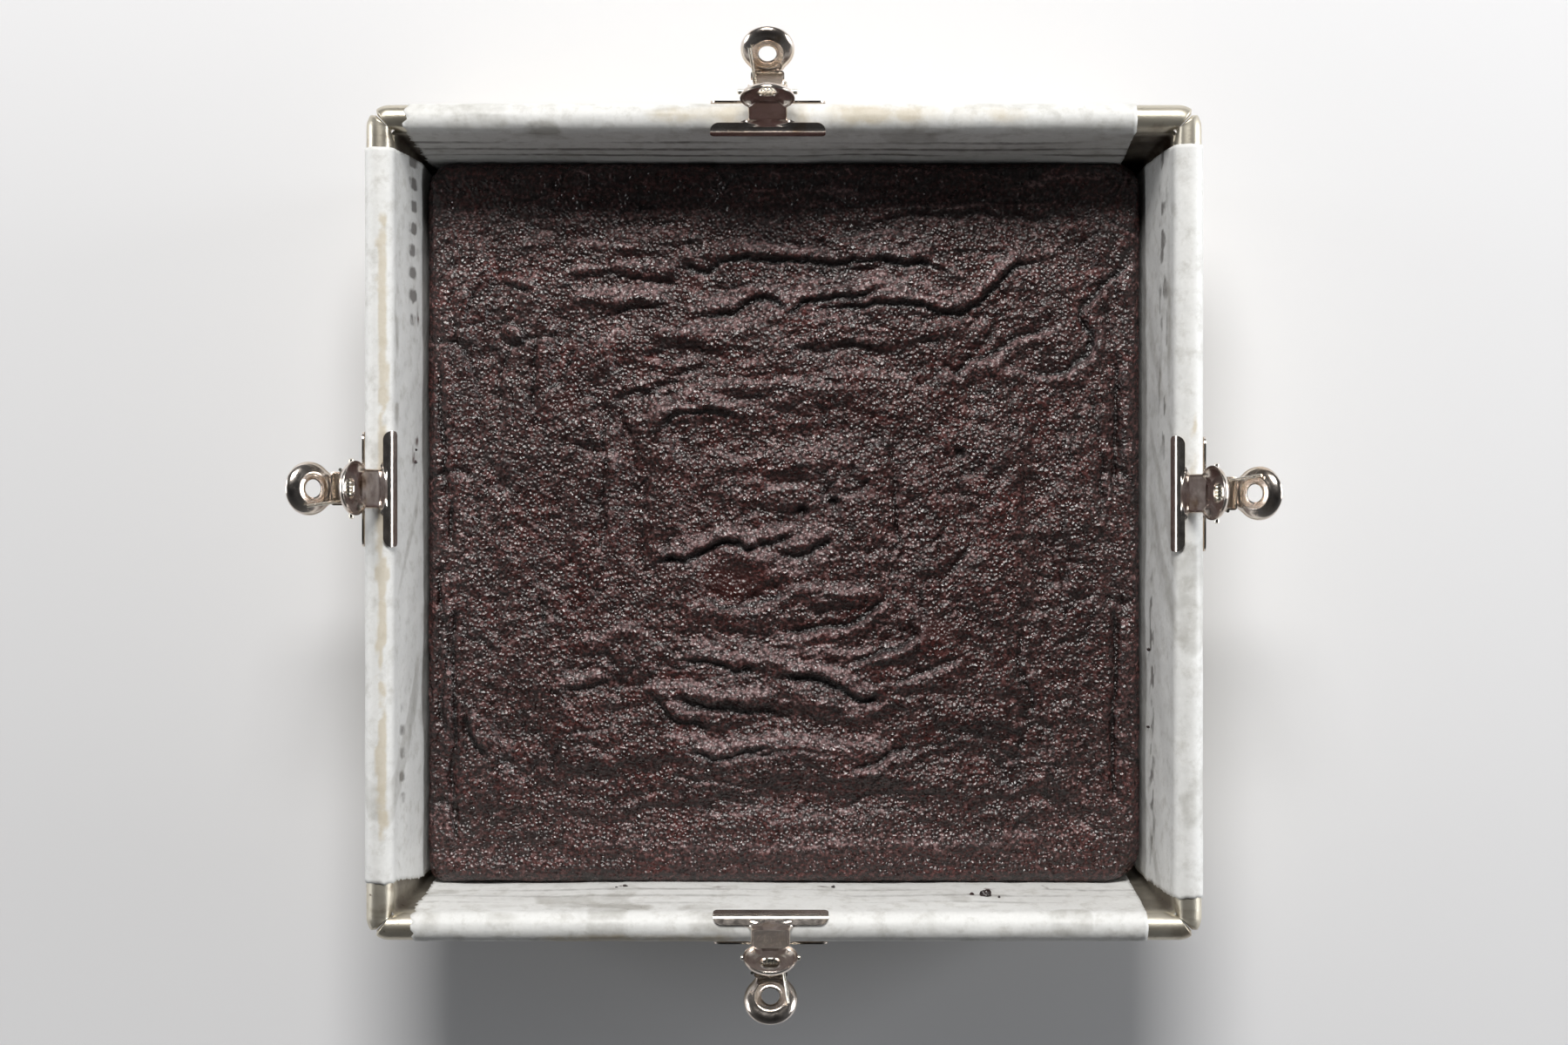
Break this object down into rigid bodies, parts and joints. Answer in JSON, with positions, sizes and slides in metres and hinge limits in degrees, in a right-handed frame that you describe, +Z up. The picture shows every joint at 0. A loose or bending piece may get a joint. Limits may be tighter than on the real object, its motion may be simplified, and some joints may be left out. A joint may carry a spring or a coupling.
{
  "type": "chocolate brownie in a baking pan",
  "caption": "Uncut chocolate brownie baked in a square folded-metal pan, lined with crossed strips of baking paper that sprung hinge clips hold to the rolled rim.",
  "frame": {"origin": "centre of the pan's underside, on the surface it stands on", "axes": "+Z up out of the pan, +X to the right and +Y to the back as the pan is seen from above with its front side nearest"},
  "size_m": [0.2638, 0.2644, 0.0801],
  "materials": {
    "pan_metal": "satin, warm grey coated sheet",
    "baking_paper": "greased, slightly translucent baking paper",
    "brownie_crumb": "moist dark chocolate crumb with a grainy satin crust",
    "clip_plate": "slightly tarnished bright nickel plate",
    "spring_wire": "bright nickel-plated spring wire"
  },
  "bodies": {
    "pan_with_brownie": {"pan": "pan_metal", "paper_front_back": "baking_paper", "paper_left_right": "baking_paper", "brownie": "brownie_crumb", "clip_right_inner": "clip_plate", "clip_right_pin": "spring_wire", "clip_right_spring": "spring_wire", "clip_back_inner": "clip_plate", "clip_back_pin": "spring_wire", "clip_back_spring": "spring_wire", "clip_left_inner": "clip_plate", "clip_left_pin": "spring_wire", "clip_left_spring": "spring_wire", "clip_front_inner": "clip_plate", "clip_front_pin": "spring_wire", "clip_front_spring": "spring_wire"},
    "clip_right_handle": {"clip_right_outer": "clip_plate", "clip_right_leg": "spring_wire"},
    "clip_back_handle": {"clip_back_outer": "clip_plate", "clip_back_leg": "spring_wire"},
    "clip_left_handle": {"clip_left_outer": "clip_plate", "clip_left_leg": "spring_wire"},
    "clip_front_handle": {"clip_front_outer": "clip_plate", "clip_front_leg": "spring_wire"}
  },
  "joints": [
    {"name": "clip_right_hinge", "type": "hinge", "parent": "pan_with_brownie", "child": "clip_right_handle", "pos_m": [0.11621, 0.0078, 0.06301], "axis": [0, -1, 0], "range_deg": [0, 50], "stiffness_Nm_per_rad": 0.15, "springref_deg": -38.39},
    {"name": "clip_back_hinge", "type": "hinge", "parent": "pan_with_brownie", "child": "clip_back_handle", "pos_m": [-0.0044, 0.11571, 0.0633], "axis": [1, 0, 0], "range_deg": [0, 50], "stiffness_Nm_per_rad": 0.15, "springref_deg": -38.39},
    {"name": "clip_left_hinge", "type": "hinge", "parent": "pan_with_brownie", "child": "clip_left_handle", "pos_m": [-0.11621, 0.0091, 0.06301], "axis": [0, 1, 0], "range_deg": [0, 50], "stiffness_Nm_per_rad": 0.15, "springref_deg": -38.39},
    {"name": "clip_front_hinge", "type": "hinge", "parent": "pan_with_brownie", "child": "clip_front_handle", "pos_m": [-0.0036, -0.11704, 0.06244], "axis": [-1, 0, 0], "range_deg": [0, 50], "stiffness_Nm_per_rad": 0.15, "springref_deg": -38.39}
  ]
}
